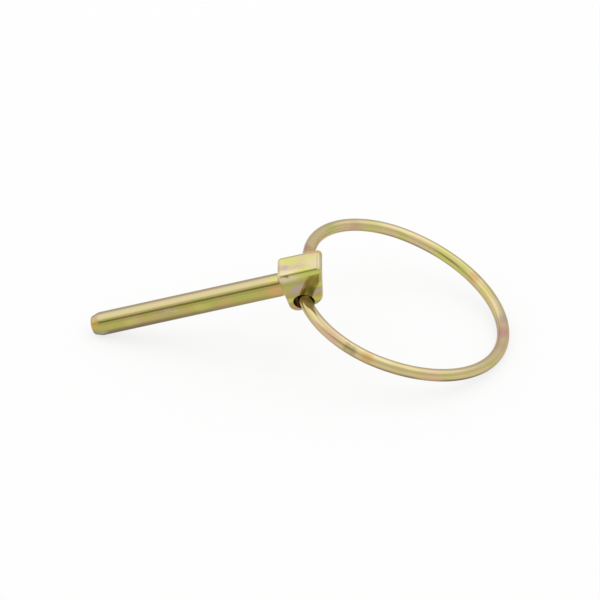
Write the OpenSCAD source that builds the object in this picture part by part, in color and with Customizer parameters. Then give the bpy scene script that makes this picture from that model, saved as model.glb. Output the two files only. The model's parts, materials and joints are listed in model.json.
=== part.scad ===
// Lynch pin: a forged pin with an eccentric eye block as its head, and a bent-wire pull ring
// threaded through the eye.  It lies as it comes to rest: the nose and the far side of the ring
// touch the ground and the head is propped up between them.

/* [Shank] */
// Diameter of the shank
shank_d = 6; // [5.25:0.25:7]
// Length from the head's shoulder to the end of the nose
shank_l = 51.3; // [35:0.1:90]
// Diameter of the small flat on the end of the nose
nose_flat_d = 3.9; // [2:0.1:4.2]
// Angle between the nose's taper and the shank's side
nose_taper = 18.5; // [10:0.5:35]
// Radius round the end of the nose
nose_edge_r = 0.5; // [0.2:0.05:0.9]
// Radius that eases the taper into the shank
nose_blend_r = 3; // [1:0.5:6]
// Radius that flares the shank into the head
neck_flare_r = 3; // [1:0.5:6]

/* [Head] */
// Thickness of the head, measured along the eye
head_t = 7.3; // [4.5:0.1:9]
// Length of the head's top side, along the shank
head_top_l = 11.45; // [9:0.1:16]
// Height of the top side above the shank's axis
head_top_h = 6.4; // [5:0.1:10]
// Slant of the shoulder: how far its lower end leans towards the nose
shoulder_lean = 0.75; // [0:0.05:2]
// Radius of the two upper corners
top_corner_r = 1; // [0.9:0.05:2]
// Radius of the lower corner beside the shank
heel_corner_r = 2.35; // [1.5:0.05:3]
// Radius of the lower corner away from the shank
toe_corner_r = 4.05; // [2:0.05:4.5]
// Thickness of the wall between the eye and the side by the shoulder
heel_wall = 1.7; // [1:0.1:3]
// Thickness of the wall under the eye
foot_wall = 0.8; // [0.8:0.05:3]
// Thickness of the wall between the eye and the free end
toe_wall = 2.65; // [1.2:0.05:4]
// How much further the heel corner hangs below the toe corner
foot_slope = 0.85; // [0:0.05:1.5]
// Radius along the head's forged edges
forged_edge_r = 0.9; // [0.4:0.05:0.9]
// Radius along the two long top edges
top_edge_r = 1.5; // [0.9:0.1:2]

/* [Eye] */
// Diameter of the eye
eye_d = 5.3; // [4.8:0.1:6]
// Distance of the eye's axis below the shank's axis
eye_drop = 4.2; // [3.8:0.1:5.5]

/* [Ring] */
// Diameter of the ring's wire
wire_d = 3.2; // [2:0.1:3.5]
// Radius of the ring's round half, to the middle of the wire
ring_r = 30.2; // [24.5:0.1:45]
// Radius of the two corner bends that lead into the flat side, to the middle of the wire
bend_r = 23.4; // [14:0.1:24]
// Least gap between the wire and the eye, counting the wire's slanting section
wire_gap = 0.08; // [0.05:0.01:0.2]

/* [How it lies] */
// Swing of the ring below the line of the shank
ring_swing = 40.4; // [30:0.1:50]
// How far round a corner bend the ring has slid in the eye
ring_creep = 13.2; // [5:0.1:25]
// Where the wire bears in the mouths of the eye: 0 is fore and aft, 90 is towards the shank
bearing_turn = 12; // [10:1:60]
// Lean of the head to its side
head_roll = 21.1; // [10:0.1:35]

/* [Hidden] */
$fn = 96;
plating = [0.80, 0.74, 0.47];
plating_pale = [0.84, 0.78, 0.52];

// ---- head outline, seen along the eye: each corner is [along the shank, up, radius] ----
eye_x = heel_wall + eye_d/2 - shoulder_lean;
eye_at = [eye_x, 0, -eye_drop];
foot_h = eye_drop + eye_d/2 + foot_wall;
toe_x = eye_x + eye_d/2 + toe_wall;
CORNERS = [
    [top_corner_r, head_top_h - top_corner_r, top_corner_r],
    [head_top_l - top_corner_r, head_top_h - top_corner_r, top_corner_r],
    [toe_x - toe_corner_r, toe_corner_r + foot_slope - foot_h, toe_corner_r],
    [heel_corner_r - shoulder_lean, heel_corner_r - foot_h, heel_corner_r],
];
hull_fn = 40;               // sides of the rounded corners
edge_step = 15;             // degrees between the points of a small rounding
crown_r = max(0, top_edge_r - forged_edge_r);
crown_step = 30;            // degrees between the pucks that round the long top edges

// ---- nose profile: [distance from the shoulder, radius] ----
nose_flat_r = nose_flat_d/2;
shank_r = shank_d/2;
taper_end = [-shank_l + nose_edge_r*(1 - sin(nose_taper)), nose_flat_r + nose_edge_r*cos(nose_taper)];
blend_end_r = shank_r - nose_blend_r*(1 - cos(nose_taper));
blend_x = taper_end.x + (blend_end_r - taper_end.y)/tan(nose_taper) + nose_blend_r*sin(nose_taper);
blend_step = 3;             // degrees between the points of the nose's long blend

// ---- neck profile: the flare starts clear of the leaning shoulder and ends inside the head ----
least_rise = 0.05;
neck_rise = max(least_rise, 0.8*(head_t/2 - shank_r));
neck_turn = acos(1 - neck_rise/neck_flare_r);
neck_steps = 5;
shank_root = shank_r;       // how far the shank is buried in the head

// ---- the wire's place in the eye ----
wire_r = wire_d/2;
play = eye_d/2 - wire_r - wire_gap;
wire_cant = atan(play*cos(bearing_turn)/(head_t/2));
wire_shift = play*sin(bearing_turn) + pow(head_t/2, 2)/(2*bend_r);
flat_half = ring_r - bend_r;

// ---- rest: the nose and the ring's round half both touch the ground ----
function turn_x(v, a) = [v.x, v.y*cos(a) - v.z*sin(a), v.y*sin(a) + v.z*cos(a)];
function turn_y(v, a) = [v.x*cos(a) + v.z*sin(a), v.y, v.z*cos(a) - v.x*sin(a)];
function turn_z(v, a) = [v.x*cos(a) - v.y*sin(a), v.x*sin(a) + v.y*cos(a), v.z];

// a direction of the ring's own plane, in the pin's frame
function ring_dir(v) = turn_y(turn_x(turn_z(v, -ring_creep), -wire_cant), ring_swing);
// the same for a point, measured from the centre of the round half
function ring_point(v) = eye_at + ring_dir(v - bore_on_ring)
    - turn_y(turn_x([wire_shift, 0, 0], -wire_cant), ring_swing);
bore_on_ring = [-bend_r*cos(ring_creep), -flat_half - bend_r*sin(ring_creep), 0];

// a direction of the pin's frame, once the pin lies on the ground
function lie_dir(v, pitch) = turn_y(turn_x(v, head_roll), -pitch);
// how far the ring reaches from the centre of its round half along a world direction
function ring_reach(w, pitch) =
    let (
        u = lie_dir(ring_dir([1, 0, 0]), pitch)*w,
        v = lie_dir(ring_dir([0, 1, 0]), pitch)*w,
        s = norm([u, v])
    )
    wire_r + (u >= 0 ? ring_r*s : bend_r*s + flat_half*abs(v));
// how far the nose's end reaches along a world direction, from the shoulder
function nose_reach(w, pitch) =
    let (along = lie_dir([-1, 0, 0], pitch)*w)
    (shank_l - nose_edge_r)*along + nose_flat_r*sqrt(1 - along*along) + nose_edge_r;
function ring_extent(w, pitch) = lie_dir(ring_point([0, 0, 0]), pitch)*w + ring_reach(w, pitch);

DOWN = [0, 0, -1];
// the pitch at which both contacts are level, found by halving
function level_pitch(low, high, left) =
    let (mid = (low + high)/2)
    left == 0 ? mid
    : ring_extent(DOWN, mid) < nose_reach(DOWN, mid) ? level_pitch(low, mid, left - 1)
    : level_pitch(mid, high, left - 1);
head_pitch = level_pitch(0, 60, 40);

ground = nose_reach(DOWN, head_pitch);
x_mid = (ring_extent([1, 0, 0], head_pitch) - nose_reach([-1, 0, 0], head_pitch))/2;
y_mid = (ring_extent([0, 1, 0], head_pitch) - ring_extent([0, -1, 0], head_pitch))/2;

// ---- modules ----
module lie()
    translate([-x_mid, -y_mid, ground])
        rotate([0, -head_pitch, 0])
            rotate([head_roll, 0, 0])
                children();

// disc with a rounded rim, its axis along the eye
module puck(at, drop, half_t)
    translate([at[0], 0, at[1] - drop])
        rotate([90, 0, 0])
            rotate_extrude($fn = hull_fn)
                polygon(concat(
                    [[0, -half_t]],
                    [for (a = [-90:edge_step:0]) rim_point(at[2], half_t, a, -1)],
                    [for (a = [0:edge_step:90]) rim_point(at[2], half_t, a, 1)],
                    [[0, half_t]]
                ));

function rim_point(r, half_t, a, side) = [
    r - forged_edge_r + forged_edge_r*cos(a),
    side*(half_t - forged_edge_r) + forged_edge_r*sin(a)
];

module eye_block()
    hull() {
        for (corner = [CORNERS[0], CORNERS[1]], a = [0:crown_step:90])
            puck(corner, crown_r*(1 - sin(a)), head_t/2 - crown_r*(1 - cos(a)));
        for (corner = [CORNERS[2], CORNERS[3]]) puck(corner, 0, head_t/2);
    }

module shank()
    rotate([0, 90, 0])
        rotate_extrude()
            polygon(concat(
                [[0, shank_root], [0, -shank_l]],
                [for (a = [0:edge_step:90 - nose_taper])
                    [nose_flat_r + nose_edge_r*sin(a), -shank_l + nose_edge_r*(1 - cos(a))]],
                [[taper_end.y, taper_end.x]],
                [for (a = [nose_taper:-blend_step:0])
                    [shank_r - nose_blend_r*(1 - cos(a)), blend_x - nose_blend_r*sin(a)]],
                [[shank_r, blend_x]],
                [for (step = [0:neck_steps])
                    let (a = neck_turn*step/neck_steps)
                    [shank_r + neck_flare_r*(1 - cos(a)), neck_flare_r*sin(a) - shoulder_lean]],
                [[shank_r, shank_root]]
            ));

module eye()
    translate(eye_at)
        rotate([90, 0, 0])
            cylinder(d = eye_d, h = 2*head_t, center = true);

module pin()
    color(plating)
        lie()
            difference() {
                union() {
                    shank();
                    eye_block();
                }
                eye();
            }

// the bent wire, flat, with the centre of its round half at the origin
module wire_arc(r, from, turn)
    rotate([0, 0, from])
        rotate_extrude(angle = turn)
            translate([r, 0]) circle(d = wire_d);

module wire_ring() {
    wire_arc(ring_r, -90, 180);
    for (side = [-1, 1])
        translate([0, side*flat_half, 0])
            wire_arc(bend_r, side > 0 ? 90 : 180, 90);
    translate([-bend_r, 0, 0])
        rotate([90, 0, 0])
            cylinder(d = wire_d, h = 2*flat_half, center = true);
}

module ring()
    color(plating_pale)
        lie()
            translate(eye_at)
                rotate([0, ring_swing, 0])
                    rotate([-wire_cant, 0, 0])
                        translate([-wire_shift, 0, 0])
                            rotate([0, 0, -ring_creep])
                                translate(-bore_on_ring)
                                    wire_ring();

pin();
ring();
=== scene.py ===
"""A lynch pin at rest: a forged eye pin and its pull ring, both in yellow passivated zinc plating.

Unless said otherwise, lengths in the classes are millimetres and angles are degrees. Every mesh is
modelled in millimetres in a frame of its own, and is then placed in the row frame, in metres.
"""

import json
import logging
import math
from dataclasses import dataclass
from enum import Enum
from typing import Any, Callable, Sequence

import bmesh
import bpy
from mathutils import Matrix, Vector

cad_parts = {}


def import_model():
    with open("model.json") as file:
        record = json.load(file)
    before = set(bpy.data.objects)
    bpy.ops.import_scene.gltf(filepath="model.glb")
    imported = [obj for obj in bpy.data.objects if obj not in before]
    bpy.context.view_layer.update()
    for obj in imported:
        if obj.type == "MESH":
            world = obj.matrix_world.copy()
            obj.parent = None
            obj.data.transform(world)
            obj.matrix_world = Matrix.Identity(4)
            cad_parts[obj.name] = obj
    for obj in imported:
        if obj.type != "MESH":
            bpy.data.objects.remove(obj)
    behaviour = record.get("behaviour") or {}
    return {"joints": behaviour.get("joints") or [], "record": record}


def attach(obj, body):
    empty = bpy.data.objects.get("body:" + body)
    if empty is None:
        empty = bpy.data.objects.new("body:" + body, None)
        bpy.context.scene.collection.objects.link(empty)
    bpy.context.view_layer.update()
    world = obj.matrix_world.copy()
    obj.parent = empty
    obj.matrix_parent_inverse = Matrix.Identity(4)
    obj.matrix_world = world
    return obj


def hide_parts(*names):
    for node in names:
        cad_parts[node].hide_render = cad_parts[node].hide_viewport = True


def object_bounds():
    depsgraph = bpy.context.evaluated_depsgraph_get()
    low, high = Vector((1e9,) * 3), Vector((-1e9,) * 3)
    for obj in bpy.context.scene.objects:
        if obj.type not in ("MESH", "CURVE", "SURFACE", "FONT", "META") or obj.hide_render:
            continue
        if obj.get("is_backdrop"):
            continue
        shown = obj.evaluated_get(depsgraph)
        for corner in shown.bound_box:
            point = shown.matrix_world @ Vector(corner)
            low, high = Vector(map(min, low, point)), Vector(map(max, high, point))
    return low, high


Triple = tuple[float, float, float]  # a point or a colour

MM = 0.001  # metres in a millimetre
NEAR = 0.01  # millimetres between a vertex and the place that it is picked by
DOUBLE = 2e-6  # metres between vertices that are merged
CROWDED = 0.02  # millimetres between points of a skin that are merged
FLAT = math.radians(0.05)  # turn below which the faces of a skin are joined
ARC = 0.5  # bevel profile that rounds an edge to part of a circle
LARGEST_LEAD = 100  # weight at which the largest faces set the shading of a corner
log = logging.getLogger("lynch_pin")


# ---- frames and edit-mode helpers ----


@dataclass(frozen=True)
class PartFrame:
    """The own frame of a part.

    The pin's has X along the shank to the head, Y along the eye and Z to the head's top. The ring's
    lies flat in XY round the middle of its round half, with its flat side towards -X.

    Attributes:
        place: turns a point of that frame, in millimetres, into the row frame, in metres.
    """

    place: Matrix

    @classmethod
    def of_pin(cls, record: dict, joint: dict, eye: Vector) -> "PartFrame":
        """Reads the pin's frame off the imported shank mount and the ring's hinge.

        Args:
            record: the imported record, with its mounts.
            joint: the ring's hinge, whose point is the middle of the eye.
            eye: the middle of the eye in the pin's frame, in millimetres.

        Returns:
            The pin's frame.
        """
        mount = next(m for m in record["mounts"] if m["name"] == "shank")
        along = -Vector(mount["axis"]).normalized()
        side = Vector(joint["axis"]).normalized()
        up = along.cross(side)
        turn = Matrix((along, side, up)).transposed().to_4x4()
        corner = Vector(joint["pos_m"]) - turn.to_3x3() @ eye * MM
        return cls(Matrix.Translation(corner) @ turn @ Matrix.Scale(MM, 4))


def deselect() -> None:
    """Leaves nothing selected, in object mode."""
    bpy.ops.object.select_all(action="DESELECT")


def take(piece: bpy.types.Object) -> None:
    """Makes one piece the active one, alone in the selection.

    Args:
        piece: the object to take.
    """
    deselect()
    piece.select_set(True)
    bpy.context.view_layer.objects.active = piece


def edit(piece: bpy.types.Object) -> None:
    """Opens one piece in edit mode, alone in the selection."""
    take(piece)
    bpy.ops.object.mode_set(mode="EDIT")


def pick_edges(piece: bpy.types.Object, wanted: Callable[[Vector, Vector], bool]) -> None:
    """Selects the edges whose two ends pass a test, in edit mode.

    Args:
        piece: the mesh being edited.
        wanted: takes the two ends of an edge and says whether it is picked.
    """
    bpy.ops.mesh.select_mode(type="EDGE")
    bpy.ops.mesh.select_all(action="DESELECT")
    mesh = bmesh.from_edit_mesh(piece.data)
    for edge in mesh.edges:
        edge.select_set(wanted(edge.verts[0].co, edge.verts[1].co))
    mesh.select_flush_mode()
    bmesh.update_edit_mesh(piece.data)


def round_edges(radius: float, turn: float, segments: int) -> None:
    """Rounds the selected edges to a radius.

    Args:
        radius: of the rounding.
        turn: how far the surface turns across the edge, in radians.
        segments: how many faces the rounding gets.
    """
    bpy.ops.mesh.bevel(
        offset_type="OFFSET",
        offset=radius * math.tan(turn / 2),
        segments=segments,
        profile=ARC,
        affect="EDGES",
        clamp_overlap=False,
    )


def grow(rise: float, to_z: float, scale: float) -> None:
    """Extrudes the selected end of a turned piece by a rise, up to a Z, and scales the new end."""
    bpy.ops.mesh.extrude_region_move(TRANSFORM_OT_translate={"value": (0, 0, rise)})
    bpy.ops.transform.resize(value=(scale, scale, 1), center_override=(0, 0, to_z))


def turned(name: str, stations: Sequence[tuple[float, float]], sides: int) -> bpy.types.Object:
    """Makes a closed turned piece about Z from its profile.

    Args:
        name: of the new object.
        stations: (height, radius) pairs from one end to the other.
        sides: how many faces go round it.

    Returns:
        The piece, in object mode.
    """
    (low, radius), *others = stations
    bpy.ops.mesh.primitive_circle_add(
        vertices=sides, radius=radius, fill_type="NGON", location=(0, 0, low)
    )
    piece = bpy.context.object
    piece.name = name
    bpy.ops.object.transform_apply(location=True, rotation=True, scale=True)
    edit(piece)
    bpy.ops.mesh.select_all(action="SELECT")
    for height, new_radius in others:
        grow(height - low, height, new_radius / radius)
        low, radius = height, new_radius
    bpy.ops.mesh.select_all(action="SELECT")
    bpy.ops.mesh.normals_make_consistent(inside=False)
    bpy.ops.object.mode_set(mode="OBJECT")
    return piece


def quarter_turn(steps: int) -> list[float]:
    """The angles of a quarter turn in equal steps, in radians."""
    return [math.radians(90 * k / steps) for k in range(steps + 1)]


def put(piece: bpy.types.Object, place: Matrix) -> None:
    """Turns and moves a piece and keeps the result in its mesh.

    Args:
        piece: the object to place.
        place: where its own frame goes.
    """
    take(piece)
    piece.matrix_world = place
    bpy.ops.object.transform_apply(location=True, rotation=True, scale=True)


def combine(piece: bpy.types.Object, other: bpy.types.Object, operation: str) -> None:
    """Joins another solid to a piece, or cuts it away, and deletes the other.

    Args:
        piece: the solid that stays.
        other: the solid that is joined or cut away.
        operation: UNION or DIFFERENCE.
    """
    take(piece)
    bpy.ops.object.modifier_add(type="BOOLEAN")
    modifier = piece.modifiers[-1]
    modifier.operation = operation
    modifier.solver = "EXACT"
    modifier.object = other
    bpy.ops.object.modifier_apply(modifier=modifier.name)
    bpy.data.objects.remove(other)


def finish_shading(piece: bpy.types.Object, crease: float) -> None:
    """Merges doubles, points faces outwards and shades smooth but for sharp creases.

    Args:
        piece: the finished solid.
        crease: the angle between faces past which an edge stays sharp, in degrees.
    """
    edit(piece)
    bpy.ops.mesh.select_all(action="SELECT")
    bpy.ops.mesh.remove_doubles(threshold=DOUBLE)
    bpy.ops.mesh.normals_make_consistent(inside=False)
    bpy.ops.object.mode_set(mode="OBJECT")
    bpy.ops.object.shade_smooth_by_angle(angle=math.radians(crease))
    bpy.ops.object.modifier_add(type="WEIGHTED_NORMAL")
    modifier = piece.modifiers[-1]
    modifier.keep_sharp = True
    modifier.weight = LARGEST_LEAD
    bpy.ops.object.modifier_apply(modifier=modifier.name)


# ---- finishes ----


class Wires:
    """Adds nodes to a node tree and links them.

    Attributes:
        nodes: of the tree.
        links: of the tree.
    """

    def __init__(self, tree: bpy.types.NodeTree) -> None:
        """Takes hold of a node tree."""
        self.nodes = tree.nodes
        self.links = tree.links

    def feed(self, node: bpy.types.Node, inputs: dict[str | int, Any]) -> None:
        """Links or sets a node's inputs.

        Args:
            node: whose inputs they are.
            inputs: a socket to link or a value to set, for each input by name or number.
        """
        for key, value in inputs.items():
            if isinstance(value, bpy.types.NodeSocket):
                self.links.new(value, node.inputs[key])
            else:
                node.inputs[key].default_value = value

    def add(
        self, kind: str, inputs: dict[str | int, Any], **settings: Any
    ) -> bpy.types.bpy_prop_collection:
        """Adds a node.

        Args:
            kind: of the node, without its ShaderNode prefix.
            inputs: as feed takes them.
            **settings: the node's own properties.

        Returns:
            The node's outputs.
        """
        node = self.nodes.new("ShaderNode" + kind)
        for name, value in settings.items():
            setattr(node, name, value)
        self.feed(node, inputs)
        return node.outputs

    def fade(
        self,
        value: bpy.types.NodeSocket,
        span: tuple[float, float],
        result: tuple[float, float],
    ) -> bpy.types.NodeSocket:
        """Fades smoothly from one number to another while a value crosses a span.

        Args:
            value: what is measured.
            span: where the fade starts and where it ends.
            result: the numbers there.

        Returns:
            The faded number.
        """
        names = ("Value", "From Min", "From Max", "To Min", "To Max")
        inputs = dict(zip(names, (value, *span, *result)))
        return self.add("MapRange", inputs, interpolation_type="SMOOTHSTEP")["Result"]

    def vector(self, operation: str, *inputs: Any) -> bpy.types.bpy_prop_collection:
        """Adds a vector operation on the inputs, in order, and returns the node's outputs."""
        return self.add("VectorMath", dict(enumerate(inputs)), operation=operation)

    def number(self, operation: str, *inputs: Any) -> bpy.types.NodeSocket:
        """Adds an operation on numbers, in order, and returns its result."""
        return self.add("Math", dict(enumerate(inputs)), operation=operation)["Value"]


class Grain(Enum):
    """Which way the film's streaks run in a part's own frame."""

    ALONG = "along X"
    ROUND = "round Z"


class Film(Enum):
    """Colours of the passivation film on bright zinc, and of painted highlight, shade and
    reflection, as linear red, green and blue.
    """

    OLIVE = (0.41, 0.38, 0.085)
    STRAW = (0.46, 0.40, 0.12)
    GOLD = (0.49, 0.37, 0.10)
    SAND = (0.63, 0.51, 0.25)
    BRASS = (0.58, 0.50, 0.19)
    # PALE and CREAM are painted highlight colours
    PALE = (0.60, 0.50, 0.35)
    CREAM = (0.66, 0.56, 0.34)
    ROSE = (0.50, 0.34, 0.21)
    BLUSH = (0.64, 0.43, 0.28)
    PINK = (0.62, 0.34, 0.30)
    LILAC = (0.45, 0.31, 0.34)
    ASH = (0.45, 0.43, 0.28)
    GREEN = (0.39, 0.42, 0.10)
    FERN = (0.50, 0.49, 0.16)
    LIME = (0.52, 0.54, 0.12)
    SALMON = (0.58, 0.35, 0.13)
    AMBER = (0.60, 0.30, 0.06)
    # UMBER and the three dark colours below it are painted shade and painted dark reflections
    UMBER = (0.22, 0.17, 0.09)
    MOSS = (0.24, 0.23, 0.08)
    RUST = (0.34, 0.20, 0.12)
    SOOT = (0.15, 0.09, 0.05)


@dataclass(frozen=True)
class Bloom:
    """A spot where the film shows another colour, or where a highlight, shade or reflection is
    painted.

    Attributes:
        at: its middle in the part's own frame, in millimetres.
        reach: how far from there it is gone, in millimetres; longer along streaks that run along X.
        film: its colour.
        strength: how much of that colour shows in the middle, from 0 to 1.
    """

    at: Triple
    reach: float
    film: Film
    strength: float


@dataclass(frozen=True)
class Bore:
    """A bore along Y, whose inside is painted dark as shade.

    Attributes:
        at: a point on its axis in the part's own frame, in millimetres.
        radius: of the bore, in millimetres.
        strength: how much of the painted shade shows, from 0 to 1.
    """

    at: Triple
    radius: float
    strength: float


@dataclass(frozen=True)
class Plating:
    """Yellow passivated zinc plating.

    Attributes:
        name: of the material.
        ramp: (position, film) pairs from the thinnest film to the thickest.
        upper: the pale colour painted as a highlight on the sides that face up.
        grain: which way its streaks run.
        stretch: how much longer than wide its patches are.
        mottle: the width of its largest colour patches, in millimetres.
        wobble: how ragged the edges of its blooms are, in millimetres.
        ripple: the width of the surface's faint waves, in millimetres.
        ripple_height: how high the waves are, in millimetres.
        roughness: of the metal under the film.
        film_roughness: of the clear film.
        edge_tint: colour that the metal takes where it is seen edge on.
        rubbed_from: along its own X, past which its edges are rubbed bright, in millimetres.
        blooms: its marked spots.
        bore: its bore, with painted shade inside, if it has one.
    """

    name: str
    ramp: tuple[tuple[float, Film], ...]
    upper: Film
    grain: Grain
    stretch: float
    mottle: float
    wobble: float
    ripple: float
    ripple_height: float
    roughness: float
    film_roughness: float
    edge_tint: Triple
    rubbed_from: float = math.inf
    blooms: tuple[Bloom, ...] = ()
    bore: Bore | None = None

    GRAIN_RADIUS = 30.0  # at which streaks that run round Z are stretched as much as said
    MOTTLE = {"Detail": 6.0, "Roughness": 0.68, "Distortion": 0.5}
    RIPPLE = {"Detail": 2.0}
    WEAR_SPAN = (0.35, 0.65)  # readings of the mottle between which the gloss goes down
    WEAR = (0.8, 1.2)  # the roughness there, as a share of the plating's own
    FILM_IOR = 1.2
    RUBBED = (0.90, 0.85, 0.75, 1.0)  # edge tint of rubbed metal
    RUBBED_FADE = 1.0  # along X, over which the rubbing starts
    FACES_UP = (0.45, 0.95)  # rise of the outward direction between which the painted highlight colour comes in
    FACES_DOWN = (-0.05, -0.45)  # the same on the way to the painted shade underneath
    UPPER_SHARE = 0.65  # how much of the painted highlight colour shows on top
    LOW_SPAN = (0.004, 0.02)  # heights in metres over which the painted shade underneath fades
    HIGH_SHARE = 0.3  # how much of the painted shade underneath stays above them
    BLOOM_CORE = 0.25  # share of a bloom's reach inside which it is at full strength
    BORE_SPAN = (0.01, 0.16)  # past the bore's wall, between which its painted shade ends

    def material(self, frame: PartFrame) -> bpy.types.Material:
        """Builds the node material.

        Args:
            frame: the part's own frame, in which the streaks run and the blooms are placed.

        Returns:
            The material.
        """
        material = bpy.data.materials.new(self.name)
        material.use_nodes = True
        wires = Wires(material.node_tree)
        place = wires.add("TexCoord", {})
        inputs = {
            "Vector": place["Object"],
            "Location": frame.place.translation,
            "Rotation": frame.place.to_euler(),
            "Scale": (MM, MM, MM),
        }
        local = wires.add("Mapping", inputs, vector_type="TEXTURE")["Vector"]
        streaks = self._streaks(wires, local)
        noise = {**streaks, **self.MOTTLE, "Scale": 1 / self.mottle}
        mottle = wires.add("TexNoise", noise, noise_dimensions="4D")
        noise = {**streaks, **self.RIPPLE, "Scale": 1 / self.ripple}
        ripple = wires.add("TexNoise", noise, noise_dimensions="4D")
        height = {"Height": ripple["Fac"], "Distance": self.ripple_height * MM}
        polished, worn = (share * self.roughness for share in self.WEAR)
        wires.feed(
            wires.nodes["Principled BSDF"],
            {
                "Base Color": self._film(wires, place, local, mottle),
                "Metallic": 1.0,
                "Roughness": wires.fade(mottle["Fac"], self.WEAR_SPAN, (polished, worn)),
                "Specular Tint": self._edge(wires, local),
                "Coat Weight": 1.0,
                "Coat Roughness": self.film_roughness,
                "Coat IOR": self.FILM_IOR,
                "Normal": wires.add("Bump", height)["Normal"],
            },
        )
        return material

    def _edge(self, wires: Wires, local: bpy.types.NodeSocket) -> Any:
        """Tints the metal where it is seen edge on.

        Args:
            wires: of the material.
            local: the point in the part's own frame.

        Returns:
            The tint, or a socket that carries it.
        """
        tint = (*self.edge_tint, 1.0)
        if math.isinf(self.rubbed_from):
            return tint
        along = wires.add("SeparateXYZ", {0: local})["X"]
        span = (self.rubbed_from - self.RUBBED_FADE, self.rubbed_from)
        share = wires.fade(along, span, (0.0, 1.0))
        inputs = {"Factor": share, "A": tint, "B": self.RUBBED}
        return wires.add("Mix", inputs, data_type="RGBA")["Result"]

    def _streaks(self, wires: Wires, local: bpy.types.NodeSocket) -> dict[str, Any]:
        """Stretches the part's own frame along the grain.

        Args:
            wires: of the material.
            local: the point in the part's own frame.

        Returns:
            The inputs that a noise texture reads its streaks from.
        """
        if self.grain is Grain.ALONG:
            return {"Vector": wires.vector("MULTIPLY", local, (1 / self.stretch, 1, 1))["Vector"]}
        flat = wires.vector("MULTIPLY", local, (1, 1, 0))["Vector"]
        unit = wires.vector("NORMALIZE", flat)["Vector"]
        lap = self.GRAIN_RADIUS / self.stretch
        lapped = wires.vector("MULTIPLY", unit, (lap, lap, 0))["Vector"]
        level = wires.vector("MULTIPLY", local, (0, 0, 1))["Vector"]
        return {
            "Vector": wires.vector("ADD", lapped, level)["Vector"],
            "W": wires.vector("LENGTH", flat)["Value"],
        }

    def _film(
        self,
        wires: Wires,
        place: bpy.types.bpy_prop_collection,
        local: bpy.types.NodeSocket,
        mottle: bpy.types.bpy_prop_collection,
    ) -> bpy.types.NodeSocket:
        """Colours the film and paints highlight, shade and reflections over it.

        Args:
            wires: of the material.
            place: the outputs of the texture coordinates.
            local: the point in the part's own frame.
            mottle: the outputs of the noise that makes the patches.

        Returns:
            The colour.
        """
        colour = self._patches(wires, mottle["Fac"])
        colour = self._paint_light_by_facing(wires, place, colour)
        colour = self._marks(wires, local, mottle["Color"], colour)
        return self._paint_bore_shade(wires, local, colour) if self.bore else colour

    def _patches(self, wires: Wires, reading: bpy.types.NodeSocket) -> bpy.types.NodeSocket:
        """Colours the patches of thinner and thicker film.

        Args:
            wires: of the material.
            reading: of the noise that makes the patches.

        Returns:
            The colour.
        """
        ramp = wires.nodes.new("ShaderNodeValToRGB")
        ramp.color_ramp.interpolation = "B_SPLINE"
        while len(ramp.color_ramp.elements) < len(self.ramp):
            ramp.color_ramp.elements.new(0.5)
        for element, (position, film) in zip(ramp.color_ramp.elements, self.ramp):
            element.position = position
            element.color = (*film.value, 1.0)
        wires.feed(ramp, {"Fac": reading})
        return ramp.outputs["Color"]

    def _paint_light_by_facing(
        self,
        wires: Wires,
        place: bpy.types.bpy_prop_collection,
        colour: bpy.types.NodeSocket,
    ) -> bpy.types.NodeSocket:
        """Paints a pale highlight colour on the sides that face up, and shade low down underneath.

        Args:
            wires: of the material.
            place: the outputs of the texture coordinates.
            colour: of the film so far.

        Returns:
            The colour.
        """
        facing = wires.add("SeparateXYZ", {0: place["Normal"]})["Z"]
        height = wires.add("SeparateXYZ", {0: place["Object"]})["Z"]
        # painted highlight: a paler colour on the sides that face up
        upper = wires.fade(facing, self.FACES_UP, (0.0, self.UPPER_SHARE))
        # painted shade: dark brown on the sides that face down, fading with height above the floor
        under = wires.fade(facing, self.FACES_DOWN, (0.0, 1.0))
        low = wires.fade(height, self.LOW_SPAN, (1.0, self.HIGH_SHARE))
        colour = self._blend(wires, upper, colour, self.upper)
        return self._blend(wires, wires.number("MULTIPLY", under, low), colour, Film.UMBER)

    def _marks(
        self,
        wires: Wires,
        local: bpy.types.NodeSocket,
        unrest: bpy.types.NodeSocket,
        colour: bpy.types.NodeSocket,
    ) -> bpy.types.NodeSocket:
        """Lays the blooms over the film, drawn out along the grain and ragged at their edges.

        Args:
            wires: of the material.
            local: the point in the part's own frame.
            unrest: three noises about 0.5 that make the edges ragged.
            colour: of the film so far.

        Returns:
            The colour.
        """
        spread = (self.stretch if self.grain is Grain.ALONG else 1.0, 1.0, 1.0)
        ragged = wires.vector("SUBTRACT", unrest, (0.5, 0.5, 0.5))["Vector"]
        ragged = wires.vector("MULTIPLY", ragged, (2 * self.wobble,) * 3)["Vector"]
        even = wires.vector("DIVIDE", local, spread)["Vector"]
        ragged = wires.vector("ADD", even, ragged)["Vector"]
        for bloom in self.blooms:
            middle = tuple(c / s for c, s in zip(bloom.at, spread))
            away = wires.vector("DISTANCE", ragged, middle)["Value"]
            span = (self.BLOOM_CORE * bloom.reach, bloom.reach)
            share = wires.fade(away, span, (bloom.strength, 0.0))
            colour = self._blend(wires, share, colour, bloom.film)
        return colour

    def _paint_bore_shade(
        self, wires: Wires, local: bpy.types.NodeSocket, colour: bpy.types.NodeSocket
    ) -> bpy.types.NodeSocket:
        """Paints shade inside the bore.

        Args:
            wires: of the material.
            local: the point in the part's own frame.
            colour: of the film so far.

        Returns:
            The colour.
        """
        away = wires.vector("SUBTRACT", local, self.bore.at)["Vector"]
        away = wires.vector("MULTIPLY", away, (1, 0, 1))["Vector"]
        away = wires.vector("LENGTH", away)["Value"]
        near, far = (self.bore.radius + past for past in self.BORE_SPAN)
        share = wires.fade(away, (near, far), (self.bore.strength, 0.0))
        return self._blend(wires, share, colour, Film.SOOT)

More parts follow.
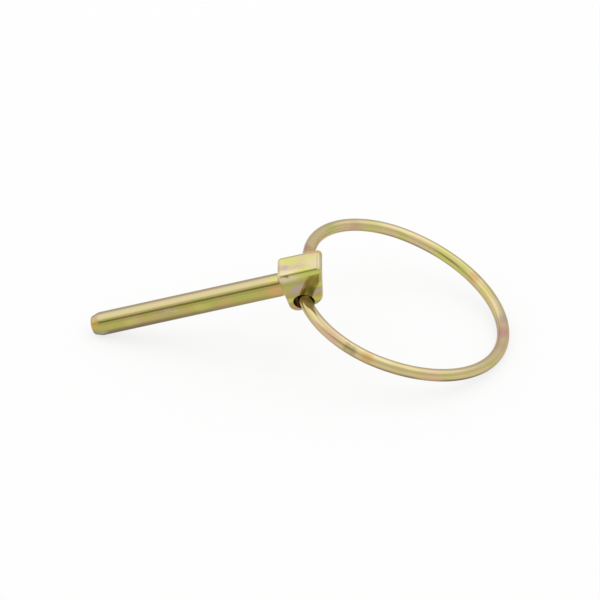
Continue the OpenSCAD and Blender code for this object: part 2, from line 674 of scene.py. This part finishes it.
    @staticmethod
    def _blend(
        wires: Wires, factor: bpy.types.NodeSocket, colour: bpy.types.NodeSocket, film: Film
    ) -> bpy.types.NodeSocket:
        """Mixes a share of a film's colour over the colour that lies under it."""
        inputs = {"Factor": factor, "A": colour, "B": (*film.value, 1.0)}
        return wires.add("Mix", inputs, data_type="RGBA")["Result"]


# ---- the object ----


@dataclass
class EyePin:
    """The forged pin: a round shank with a tapered nose, and an eye block as its head.

    Lengths along the shank count from the head's shoulder, positive to the head's free end. The
    heel is the head's lower corner beside the shank, and the toe is the one away from it.

    Attributes:
        shank_d: diameter of the shank.
        shank_l: from the shoulder to the end of the nose.
        nose_flat_d: diameter of the small flat on the end of the nose.
        nose_taper: angle between the nose's taper and the shank's side.
        nose_edge_r: radius round the end of the nose.
        nose_blend_r: radius that eases the taper into the shank.
        neck_flare_r: radius that flares the shank into the head.
        neck_share: how much of the step from the shank to the head's face the flare climbs.
        head_t: thickness of the head, along the eye.
        head_top_l: length of the head's top side, along the shank.
        head_top_h: height of the top side above the shank's axis.
        shoulder_lean: how far the shoulder's lower end leans towards the nose.
        top_corner_r: radius of the two upper corners.
        heel_corner_r: radius of the heel.
        toe_corner_r: radius of the toe.
        heel_wall: thickness of the wall between the eye and the side by the shoulder.
        foot_wall: thickness of the wall under the eye.
        toe_wall: thickness of the wall between the eye and the free end.
        foot_slope: how much further the heel hangs below the toe.
        forged_edge_r: radius along the head's forged edges.
        top_edge_r: radius along the two long top edges.
        eye_d: diameter of the eye.
        eye_drop: distance of the eye's axis below the shank's axis.
        eye_rim_r: radius that breaks the eye's two rims.
        shank_root: how far the shank is buried in the head.
        cutter_reach: how far the eye's cutter stands out past the head.
        crease: angle between faces past which an edge stays sharp.
        sides: how many faces go round the shank and the eye.
        disc_sides: how many faces go round each disc of the head.
        crown_steps: in the quarter turn along the long top edges.
        neck_steps: in the flare.
        rim_steps: in each rim of the eye.
        round_steps: in each rounded edge.
    """

    shank_d: float = 6.0
    shank_l: float = 51.3
    nose_flat_d: float = 3.9
    nose_taper: float = 18.5
    nose_edge_r: float = 0.5
    nose_blend_r: float = 3.0
    neck_flare_r: float = 3.0
    neck_share: float = 0.8
    head_t: float = 7.3
    head_top_l: float = 11.45
    head_top_h: float = 6.4
    shoulder_lean: float = 0.75
    top_corner_r: float = 1.0
    heel_corner_r: float = 2.35
    toe_corner_r: float = 4.05
    heel_wall: float = 1.7
    foot_wall: float = 0.8
    toe_wall: float = 2.65
    foot_slope: float = 0.85
    forged_edge_r: float = 0.9
    top_edge_r: float = 1.5
    eye_d: float = 5.3
    eye_drop: float = 4.2
    eye_rim_r: float = 0.12
    shank_root: float = 0.85
    cutter_reach: float = 1.0
    crease: float = 32.0
    sides: int = 96
    disc_sides: int = 64
    crown_steps: int = 6
    neck_steps: int = 6
    rim_steps: int = 4
    round_steps: int = 8

    @property
    def eye(self) -> Vector:
        """The middle of the eye, in millimetres."""
        return Vector((self.heel_wall + self.eye_d / 2 - self.shoulder_lean, 0, -self.eye_drop))

    def corners(self) -> list[tuple[Vector, float]]:
        """The rounded corners of the head's outline, seen along the eye.

        Returns:
            (middle, radius) of each corner, going round from the upper corner by the shank.
        """
        eye_r = self.eye_d / 2
        foot_h = self.eye_drop + eye_r + self.foot_wall
        toe_x = self.eye.x + eye_r + self.toe_wall
        top, heel, toe = self.top_corner_r, self.heel_corner_r, self.toe_corner_r
        return [
            (Vector((top, 0, self.head_top_h - top)), top),
            (Vector((self.head_top_l - top, 0, self.head_top_h - top)), top),
            (Vector((toe_x - toe, 0, toe + self.foot_slope - foot_h)), toe),
            (Vector((heel - self.shoulder_lean, 0, heel - foot_h)), heel),
        ]

    def build_shank(self) -> bpy.types.Object:
        """Models the shank along Z, nose down, and turns it into the pin's frame.

        Returns:
            The shank, with a root that lies inside the head.
        """
        taper = math.radians(self.nose_taper)
        shank_r, edge_r = self.shank_d / 2, self.nose_edge_r
        edge_turn = math.pi / 2 - taper
        corner_r = self.nose_flat_d / 2 + edge_r * math.tan(edge_turn / 2)
        taper_l = (shank_r - corner_r) / math.tan(taper)
        flare_r = self.neck_flare_r
        neck_rise = self.neck_share * (self.head_t / 2 - shank_r)
        neck_turn = math.acos(1 - neck_rise / flare_r)
        turns = [neck_turn * k / self.neck_steps for k in range(self.neck_steps + 1)]
        flare = [
            (flare_r * math.sin(a) - self.shoulder_lean, shank_r + flare_r * (1 - math.cos(a)))
            for a in turns
        ]
        profile = [(-self.shank_l, corner_r), (taper_l - self.shank_l, shank_r)]
        root = [(self.shank_root, flare[-1][1])]
        shank = turned("shank", profile + flare + root, self.sides)
        edit(shank)
        for height, radius, turn in (
            (-self.shank_l, edge_r, edge_turn),
            (taper_l - self.shank_l, self.nose_blend_r, taper),
        ):
            pick_edges(shank, lambda a, b: max(abs(v.z - height) for v in (a, b)) < NEAR)
            round_edges(radius, turn, self.round_steps)
        bpy.ops.object.mode_set(mode="OBJECT")
        put(shank, Matrix.Rotation(math.pi / 2, 4, "Y"))
        return shank

    def build_head(self) -> bpy.types.Object:
        """Models the eye block as one skin round the rounded discs at its corners.

        The two upper discs are repeated, narrower and higher, along a quarter turn that softens the
        block's long top edges.

        Returns:
            The block, without its eye, in the pin's frame.
        """
        half, crown_r = self.head_t / 2, self.top_edge_r - self.forged_edge_r
        *upper, toe, heel = self.corners()
        discs = [self.build_disc(middle, radius, half) for middle, radius in (toe, heel)]
        for middle, radius in upper:
            for a in quarter_turn(self.crown_steps):
                lower = Vector((0, 0, crown_r * (1 - math.sin(a))))
                inset = crown_r * (1 - math.cos(a))
                discs.append(self.build_disc(middle - lower, radius, half - inset))
        deselect()
        for disc in discs:
            disc.select_set(True)
        head = discs[0]
        bpy.context.view_layer.objects.active = head
        bpy.ops.object.join()
        head.name = "head"
        edit(head)
        bpy.ops.mesh.select_all(action="SELECT")
        bpy.ops.mesh.convex_hull()
        bpy.ops.mesh.select_all(action="SELECT")
        bpy.ops.mesh.remove_doubles(threshold=CROWDED)
        bpy.ops.mesh.dissolve_limited(angle_limit=FLAT)
        bpy.ops.mesh.normals_make_consistent(inside=False)
        bpy.ops.object.mode_set(mode="OBJECT")
        return head

    def build_disc(self, middle: Vector, radius: float, half: float) -> bpy.types.Object:
        """Models a disc across the head, with its two rims rounded.

        Args:
            middle: of the disc.
            radius: of the disc.
            half: half its thickness.

        Returns:
            The disc, in the pin's frame.
        """
        bpy.ops.mesh.primitive_cylinder_add(
            vertices=self.disc_sides, radius=radius, depth=2 * half
        )
        disc = bpy.context.object
        edit(disc)
        pick_edges(disc, lambda a, b: abs(a.z - b.z) < NEAR)
        round_edges(self.forged_edge_r, math.pi / 2, self.round_steps)
        bpy.ops.object.mode_set(mode="OBJECT")
        put(disc, Matrix.Translation(middle) @ Matrix.Rotation(math.pi / 2, 4, "X"))
        return disc

    def build_eye_cutter(self) -> bpy.types.Object:
        """Models the drift that opens the eye and breaks its two rims.

        Returns:
            The cutter, in the pin's frame.
        """
        eye_r, half, rim = self.eye_d / 2, self.head_t / 2, self.eye_rim_r
        mouth = [
            (half + rim * (math.sin(a) - 1), eye_r + rim * (1 - math.cos(a)))
            for a in quarter_turn(self.rim_steps)
        ]
        mouth.append((half + self.cutter_reach, eye_r + rim))
        profile = [(-y, r) for y, r in reversed(mouth)] + mouth
        cutter = turned("eye", profile, self.sides)
        put(cutter, Matrix.Translation(self.eye) @ Matrix.Rotation(math.pi / 2, 4, "X"))
        return cutter

    def build(self, frame: PartFrame, finish: Plating) -> bpy.types.Object:
        """Joins the shank and head, opens the eye, places the pin and dresses it.

        Args:
            frame: the pin's frame.
            finish: its plating.

        Returns:
            The finished piece, riding on its body.
        """
        head = self.build_head()
        combine(head, self.build_eye_cutter(), "DIFFERENCE")
        pin = self.build_shank()
        combine(pin, head, "UNION")
        pin.name = pin.data.name = "forged_pin"
        put(pin, frame.place)
        finish_shading(pin, self.crease)
        pin.data.materials.clear()
        pin.data.materials.append(finish.material(frame))
        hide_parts("pin")
        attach(pin, "pin")
        return pin


@dataclass
class PullRing:
    """The bent wire ring: half a circle that closes through two tighter bends and a flat side.

    The wire lies slack in the eye, so the ring leans and has crept round its bend.

    Attributes:
        wire_d: diameter of the wire.
        ring_r: radius of the round half, to the middle of the wire.
        bend_r: radius of the two tighter bends, to the middle of the wire.
        wire_gap: least gap between the wire and the eye.
        swing: of the ring below the line of the shank.
        creep: how far round a bend the ring has slid in the eye.
        bearing_turn: where the wire bears in the eye's mouths; 0 is fore and aft, and 90 is
            towards the shank.
        crease: angle between faces past which an edge stays sharp.
        wire_sides: how many faces go round the wire.
        step: how far each short length of a bend turns.
    """

    wire_d: float = 3.2
    ring_r: float = 30.2
    bend_r: float = 23.4
    wire_gap: float = 0.08
    swing: float = 40.4
    creep: float = 13.2
    bearing_turn: float = 12.0
    crease: float = 60.0
    wire_sides: int = 40
    step: float = 2.0

    @property
    def flat_half(self) -> float:
        """Half the length of the flat side."""
        return self.ring_r - self.bend_r

    def lie(self, pin: EyePin) -> Matrix:
        """Where the flat ring lies in the pin's frame.

        Args:
            pin: whose eye carries the ring.

        Returns:
            The place of the ring's own frame.
        """
        play = pin.eye_d / 2 - self.wire_d / 2 - self.wire_gap
        bearing = math.radians(self.bearing_turn)
        half = pin.head_t / 2
        cant = math.atan(play * math.cos(bearing) / half)
        shift = play * math.sin(bearing) + half**2 / (2 * self.bend_r)
        creep = math.radians(self.creep)
        on_ring_y = -self.flat_half - self.bend_r * math.sin(creep)
        on_ring = Vector((-self.bend_r * math.cos(creep), on_ring_y, 0))
        return (
            Matrix.Translation(pin.eye)
            @ Matrix.Rotation(math.radians(self.swing), 4, "Y")
            @ Matrix.Rotation(-cant, 4, "X")
            @ Matrix.Translation(Vector((-shift, 0, 0)))
            @ Matrix.Rotation(-creep, 4, "Z")
            @ Matrix.Translation(-on_ring)
        )

    def build(self, frame: PartFrame, pin: EyePin, finish: Plating) -> bpy.types.Object:
        """Sweeps the wire round the ring, places it and dresses it.

        Args:
            frame: the pin's frame.
            pin: whose eye carries the ring.
            finish: its plating.

        Returns:
            The finished piece, riding on its body.
        """
        bpy.ops.mesh.primitive_circle_add(
            vertices=self.wire_sides,
            radius=self.wire_d / 2,
            location=(0, -self.ring_r, 0),
            rotation=(0, math.pi / 2, 0),
        )
        ring = bpy.context.object
        ring.name = ring.data.name = "pull_ring"
        bpy.ops.object.transform_apply(location=True, rotation=True, scale=True)
        edit(ring)
        bpy.ops.mesh.select_all(action="SELECT")
        self._bend(0.0, 180.0)
        self._bend(self.flat_half, 90.0)
        along = (0, -2 * self.flat_half, 0)
        bpy.ops.mesh.extrude_region_move(TRANSFORM_OT_translate={"value": along})
        self._bend(-self.flat_half, 90.0)
        bpy.ops.object.mode_set(mode="OBJECT")
        own = PartFrame(frame.place @ self.lie(pin))
        put(ring, own.place)
        finish_shading(ring, self.crease)
        ring.data.materials.clear()
        ring.data.materials.append(finish.material(own))
        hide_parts("ring")
        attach(ring, "ring")
        return ring

    def _bend(self, centre_y: float, turn: float) -> None:
        """Carries the selected wire end round one bend.

        Args:
            centre_y: where the bend's centre lies along the flat side.
            turn: how far it bends, in degrees.
        """
        bpy.ops.mesh.spin(
            steps=round(turn / self.step),
            angle=-math.radians(turn),
            center=(0, centre_y, 0),
            axis=(0, 0, 1),
        )


# ---- the studio ----


@dataclass(frozen=True)
class Softbox:
    """A soft lamp that looks at the object.

    Attributes:
        name: of the lamp.
        azimuth: where it stands, in degrees; 0 is in front and 90 on the right.
        elevation: how high it stands, in degrees.
        width: of its face, in metres.
        height: of its face, in metres.
        radiance: how bright its face is, where 1 is a white surface in full light.
        distance: from the object, in metres.
    """

    name: str
    azimuth: float
    elevation: float
    width: float
    height: float
    radiance: float
    distance: float = 1.0

    def build(self, target: Vector) -> None:
        """Adds the lamp.

        Args:
            target: what it looks at.
        """
        data = bpy.data.lights.new(self.name, "AREA")
        data.shape = "RECTANGLE"
        data.size, data.size_y = self.width, self.height
        data.energy = self.radiance * math.pi * self.width * self.height
        lamp = bpy.data.objects.new(self.name, data)
        bpy.context.scene.collection.objects.link(lamp)
        towards = direction(self.azimuth, self.elevation)
        lamp.location = target + towards * self.distance
        lamp.rotation_euler = towards.to_track_quat("Z", "Y").to_euler()
        lamp.visible_camera = False


def direction(azimuth: float, elevation: float) -> Vector:
    """The unit vector at an azimuth, 0 in front and 90 on the right, and a height, in degrees."""
    a, e = math.radians(azimuth), math.radians(elevation)
    return Vector((math.sin(a) * math.cos(e), -math.cos(a) * math.cos(e), math.sin(e)))


@dataclass
class Studio:
    """A pale floor, a light room with two soft lamps and a dark stand, and the camera.

    Attributes:
        azimuth: of the camera; 0 is in front and 90 on the right.
        elevation: of the camera above the ground.
        roll: of the camera about its line of sight.
        distance: of the camera from the object.
        aim_right: how far right of the object's middle the camera stands and looks.
        aim_up: how far above it.
        lens: focal length.
        sensor: width of the camera's sensor.
        clip: the nearest and the furthest that the camera sees, in metres.
        floor_size: side of the square floor, in metres.
        floor_colour: of the paper.
        floor_lift: how far it is whitened for the camera, gloss and glass, from 0 to 1.
        wall_level: brightness of the walls.
        ceiling_level: brightness of the ceiling.
        ceiling_span: rise of the direction between which the walls turn into the ceiling.
        stand_azimuth: of the stand that the object mirrors.
        stand_elevation: of its middle.
        stand_half: how far it reaches to each side, and up and down.
        stand_edge: share of that reach between which it fades out.
        stand_colour: how much red, green and blue it sends back.
        softboxes: the soft lamps.
    """

    azimuth: float = 5.589
    elevation: float = 30.909
    roll: float = 2.964
    distance: float = 1314.0
    aim_right: float = -1.430
    aim_up: float = -6.372
    lens: float = 312.0
    sensor: float = 36.0
    clip: tuple[float, float] = (0.05, 100.0)
    floor_size: float = 30.0
    floor_colour: Triple = (0.90, 0.90, 0.895)
    floor_lift: float = 0.78
    wall_level: float = 0.82
    ceiling_level: float = 1.12
    ceiling_span: tuple[float, float] = (0.55, 0.9)
    stand_azimuth: float = -31.0
    stand_elevation: float = 29.0
    stand_half: tuple[float, float] = (16.0, 7.2)
    stand_edge: tuple[float, float] = (0.7, 1.3)
    stand_colour: Triple = (0.44, 0.38, 0.29)
    softboxes: tuple[Softbox, ...] = (
        Softbox("left_softbox", -104.0, 33.0, 1.2, 1.1, 0.36),
        Softbox("right_softbox", 112.0, 55.0, 1.2, 0.8, 0.32),
    )

    STAND_DEPTH = 100.0  # so great that only the direction counts

    def build(self, low: Vector, high: Vector) -> None:
        """Builds the floor, the light and the camera.

        Args:
            low: the object's lowest corner, in metres.
            high: its highest corner, in metres.
        """
        middle = (low + high) / 2
        self.build_floor()
        self.build_world()
        for softbox in self.softboxes:
            softbox.build(middle)
        self.build_camera(middle)
        bpy.context.scene.view_settings.view_transform = "Standard"

    def build_camera(self, middle: Vector) -> None:
        """Adds the camera and makes it the scene's.

        Args:
            middle: of the object's box.
        """
        back = direction(self.azimuth, self.elevation)
        level = Vector((0, 0, 1)).cross(back).normalized()
        turn = Matrix.Rotation(math.radians(self.roll), 3, back)
        right = turn @ level
        up = back.cross(right)
        data = bpy.data.cameras.new("camera")
        data.lens = self.lens
        data.sensor_width = self.sensor
        data.clip_start, data.clip_end = self.clip
        camera = bpy.data.objects.new("camera", data)
        bpy.context.scene.collection.objects.link(camera)
        at = middle + (right * self.aim_right + up * self.aim_up + back * self.distance) * MM
        frame = Matrix((right, up, back)).transposed().to_4x4()
        camera.matrix_world = Matrix.Translation(at) @ frame
        bpy.context.scene.camera = camera

    def build_floor(self) -> None:
        """Adds the pale floor, which shows only part of its shadows to the camera and to gloss."""
        bpy.ops.mesh.primitive_plane_add(size=self.floor_size, location=(0, 0, 0))
        floor = bpy.context.object
        floor.name = "floor"
        material = bpy.data.materials.new("pale_paper")
        material.use_nodes = True
        wires = Wires(material.node_tree)
        wires.nodes.clear()
        path = wires.add("LightPath", {})
        seen = wires.number("MAXIMUM", path["Is Camera Ray"], path["Is Glossy Ray"])
        seen = wires.number("MAXIMUM", seen, path["Is Transmission Ray"])
        paper = wires.add("BsdfDiffuse", {"Color": (*self.floor_colour, 1.0)})["BSDF"]
        white = wires.add("Emission", {})["Emission"]
        lift = wires.number("MULTIPLY", seen, self.floor_lift)
        mix = wires.add("MixShader", {0: lift, 1: paper, 2: white})["Shader"]
        wires.add("OutputMaterial", {"Surface": mix})
        floor.data.materials.append(material)
        floor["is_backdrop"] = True

    def build_world(self) -> None:
        """Lights the room: pale walls, a brighter ceiling, and a dark stand at the front left."""
        world = bpy.data.worlds.new("room")
        bpy.context.scene.world = world
        world.use_nodes = True
        wires = Wires(world.node_tree)
        wires.nodes.clear()
        place = wires.add("TexCoord", {})["Generated"]
        height = wires.add("SeparateXYZ", {0: place})["Z"]
        level = wires.fade(height, self.ceiling_span, (self.wall_level, self.ceiling_level))
        towards = direction(self.stand_azimuth, self.stand_elevation)
        across, tall = (math.sin(math.radians(half)) for half in self.stand_half)
        inputs = {
            "Vector": place,
            "Rotation": towards.to_track_quat("Y", "Z").to_euler(),
            "Scale": (across, self.STAND_DEPTH, tall),
        }
        stand = wires.add("Mapping", inputs, vector_type="TEXTURE")["Vector"]
        away = wires.vector("LENGTH", stand)["Value"]
        channels = {
            name: wires.fade(away, self.stand_edge, (share, 1.0))
            for name, share in zip(("Red", "Green", "Blue"), self.stand_colour)
        }
        shade = wires.add("CombineColor", channels)["Color"]
        room = wires.add("Background", {"Color": shade, "Strength": level})["Background"]
        wires.add("OutputWorld", {"Surface": room})


HEAD_FACE = -EyePin.head_t / 2
HEAD_TOP = EyePin.head_top_h
PIN_PLATING = Plating(
    name="pin_zinc",
    ramp=(
        (0.38, Film.GREEN),
        (0.45, Film.OLIVE),
        (0.51, Film.STRAW),
        (0.56, Film.GOLD),
        (0.64, Film.ROSE),
    ),
    # the paler colour on the sides that face up is a painted highlight
    upper=Film.PALE,
    grain=Grain.ALONG,
    stretch=2.2,
    mottle=2.4,
    wobble=1.5,
    ripple=1.6,
    ripple_height=0.006,
    roughness=0.13,
    film_roughness=0.12,
    edge_tint=(0.44, 0.35, 0.27),
    rubbed_from=-0.5,
    blooms=(
        # the nose
        Bloom((-50.6, -1.6, 1.6), 1.2, Film.AMBER, 0.4),
        Bloom((-49.3, 0.8, 2.2), 1.4, Film.LILAC, 0.4),
        Bloom((-49.5, -2.8, -0.2), 1.2, Film.ASH, 0.7),
        # along the shank
        Bloom((-40.0, -2.6, 1.4), 1.6, Film.LIME, 0.4),
        Bloom((-32.0, -2.5, 1.6), 1.8, Film.ROSE, 0.5),
        Bloom((-30.2, -2.1, 2.1), 0.8, Film.ASH, 0.9),
        Bloom((-28.4, -2.4, 1.8), 0.6, Film.ASH, 0.9),
        Bloom((-22.0, -2.7, 1.0), 1.5, Film.LIME, 0.4),
        Bloom((-14.5, -2.5, 1.6), 0.8, Film.SALMON, 0.7),
        Bloom((-10.5, -2.5, 1.7), 2.0, Film.GREEN, 0.6),
        Bloom((-1.6, -2.7, 1.2), 2.6, Film.SALMON, 0.9),
        Bloom((-1.8, -0.4, 3.0), 1.5, Film.LIME, 0.6),
        # the head's top
        Bloom((2.4, 1.5, HEAD_TOP), 2.1, Film.LIME, 0.7),
        Bloom((1.9, -0.4, HEAD_TOP), 1.0, Film.LILAC, 0.8),
        Bloom((5.5, -1.6, HEAD_TOP), 1.8, Film.ROSE, 0.5),
        Bloom((9.3, 0.3, HEAD_TOP), 2.0, Film.LIME, 0.7),
        Bloom((10.5, 2.3, HEAD_TOP), 1.1, Film.SALMON, 0.7),
        # painted highlights: cream and lime brighten the roundings along the front top edge
        Bloom((2.6, -3.2, 5.9), 2.6, Film.CREAM, 0.9),
        Bloom((5.2, -3.3, 6.2), 1.4, Film.LIME, 0.8),
        Bloom((8.8, -3.2, 6.0), 2.6, Film.LIME, 0.8),
        # painted reflections: two dark dashes on the front top edge mirror the dark stand
        Bloom((1.2, -3.3, 6.1), 0.4, Film.SOOT, 0.9),
        Bloom((2.9, -3.3, 6.1), 0.4, Film.SOOT, 0.8),
        # painted highlights: cream and pale brighten the roundings at both ends of the top
        Bloom((-0.3, -1.8, 6.0), 1.4, Film.CREAM, 1.0),
        Bloom((-0.3, 1.4, 6.0), 1.4, Film.CREAM, 1.0),
        Bloom((11.5, -0.8, 5.6), 3.0, Film.PALE, 0.9),
        Bloom((11.4, -2.6, 2.4), 1.8, Film.ROSE, 0.6),
        # the face with the eye
        Bloom((1.8, HEAD_FACE, 2.0), 1.7, Film.GREEN, 0.8),
        Bloom((2.6, HEAD_FACE, 0.4), 1.0, Film.LILAC, 0.9),
        Bloom((4.3, HEAD_FACE, 1.6), 1.3, Film.LILAC, 0.9),
        Bloom((4.9, HEAD_FACE, 1.2), 0.8, Film.PINK, 0.6),
        Bloom((0.3, HEAD_FACE, -2.8), 1.3, Film.LIME, 0.9),
        Bloom((7.3, HEAD_FACE, -3.9), 1.4, Film.LIME, 0.8),
        Bloom((7.6, HEAD_FACE, -3.2), 0.7, Film.AMBER, 0.8),
        Bloom((8.4, HEAD_FACE, -1.1), 1.1, Film.LILAC, 0.8),
        Bloom((9.8, HEAD_FACE, 1.0), 1.2, Film.LIME, 0.8),
        Bloom((0.0, -3.4, -5.2), 1.0, Film.AMBER, 0.6),
        Bloom((1.2, HEAD_FACE, -6.6), 1.2, Film.ROSE, 0.8),
    ),
    # the eye's bore gets painted shade inside
    bore=Bore(EyePin().eye.to_tuple(), EyePin.eye_d / 2, 0.92),
)
RING_PLATING = Plating(
    name="ring_zinc",
    ramp=(
        (0.36, Film.FERN),
        (0.43, Film.BRASS),
        (0.50, Film.SAND),
        (0.61, Film.BLUSH),
    ),
    # the paler colour on the sides that face up is a painted highlight
    upper=Film.CREAM,
    grain=Grain.ROUND,
    stretch=2.5,
    mottle=2.6,
    wobble=1.5,
    ripple=1.6,
    ripple_height=0.005,
    roughness=0.20,
    film_roughness=0.14,
    edge_tint=(0.55, 0.45, 0.35),
    blooms=(
        # the outer, round half
        Bloom((5.3, -30.6, 1.2), 3.5, Film.FERN, 0.4),
        Bloom((10.5, -29.6, 1.0), 3.0, Film.FERN, 0.3),
        Bloom((14.0, -28.8, -0.8), 5.0, Film.BLUSH, 0.7),
        Bloom((28.7, -4.7, 1.0), 4.0, Film.PINK, 0.4),
        Bloom((29.0, 1.5, 1.0), 4.0, Film.PINK, 0.9),
        Bloom((28.7, 7.0, 1.2), 3.0, Film.LILAC, 0.5),
        Bloom((23.2, 17.2, 0.9), 4.5, Film.BRASS, 0.8),
        Bloom((19.5, 21.8, 1.2), 2.6, Film.SALMON, 0.6),
        Bloom((16.0, 23.8, -0.3), 4.0, Film.LIME, 0.7),
        Bloom((11.0, 26.5, 0.0), 4.5, Film.LIME, 0.7),
        # the bends and the flat side
        Bloom((-9.3, 26.9, 0.5), 4.0, Film.FERN, 0.5),
        Bloom((-13.1, 24.2, 0.0), 3.0, Film.ROSE, 0.5),
        Bloom((-19.1, 17.8, 0.8), 3.5, Film.FERN, 0.8),
        Bloom((-25.0, 5.6, 0.5), 2.4, Film.LILAC, 0.9),
        Bloom((-23.8, 4.6, 1.5), 2.2, Film.SALMON, 0.8),
        # painted shade and reflection of the head: darker olive and rose where the wire leaves the
        # eye
        Bloom((-20.3, -17.4, 1.6), 2.2, Film.MOSS, 0.8),
        Bloom((-22.6, -17.2, 0.8), 1.8, Film.RUST, 0.8),
        Bloom((-13.1, -28.1, -0.6), 4.0, Film.BLUSH, 0.8),
        Bloom((-3.1, -31.3, 0.8), 2.4, Film.SALMON, 0.7),
        # painted reflection: two brown patches deepen the dark stand's mirror image on the front of
        # the wire
        Bloom((-8.7, -30.1, 0.6), 1.6, Film.UMBER, 0.45),
        Bloom((-7.0, -30.7, 0.6), 1.6, Film.UMBER, 0.5),
        # inside the eye: painted shade on the wire
        Bloom((-22.8, -12.1, 0.0), 5.2, Film.SOOT, 0.85),
    ),
)


def main() -> None:
    logging.basicConfig(level=logging.INFO, format="%(name)s: %(message)s")
    scene_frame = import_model()
    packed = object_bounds()
    pin = EyePin()
    ring = PullRing()
    hinge = next(j for j in scene_frame["joints"] if j["name"] == "ring_hinge")
    frame = PartFrame.of_pin(scene_frame["record"], hinge, pin.eye)
    for piece in (pin.build(frame, PIN_PLATING), ring.build(frame, pin, RING_PLATING)):
        log.info("%s: %d faces", piece.name, len(piece.data.polygons))
    Studio().build(*packed)


if __name__ == "__main__":
    main()
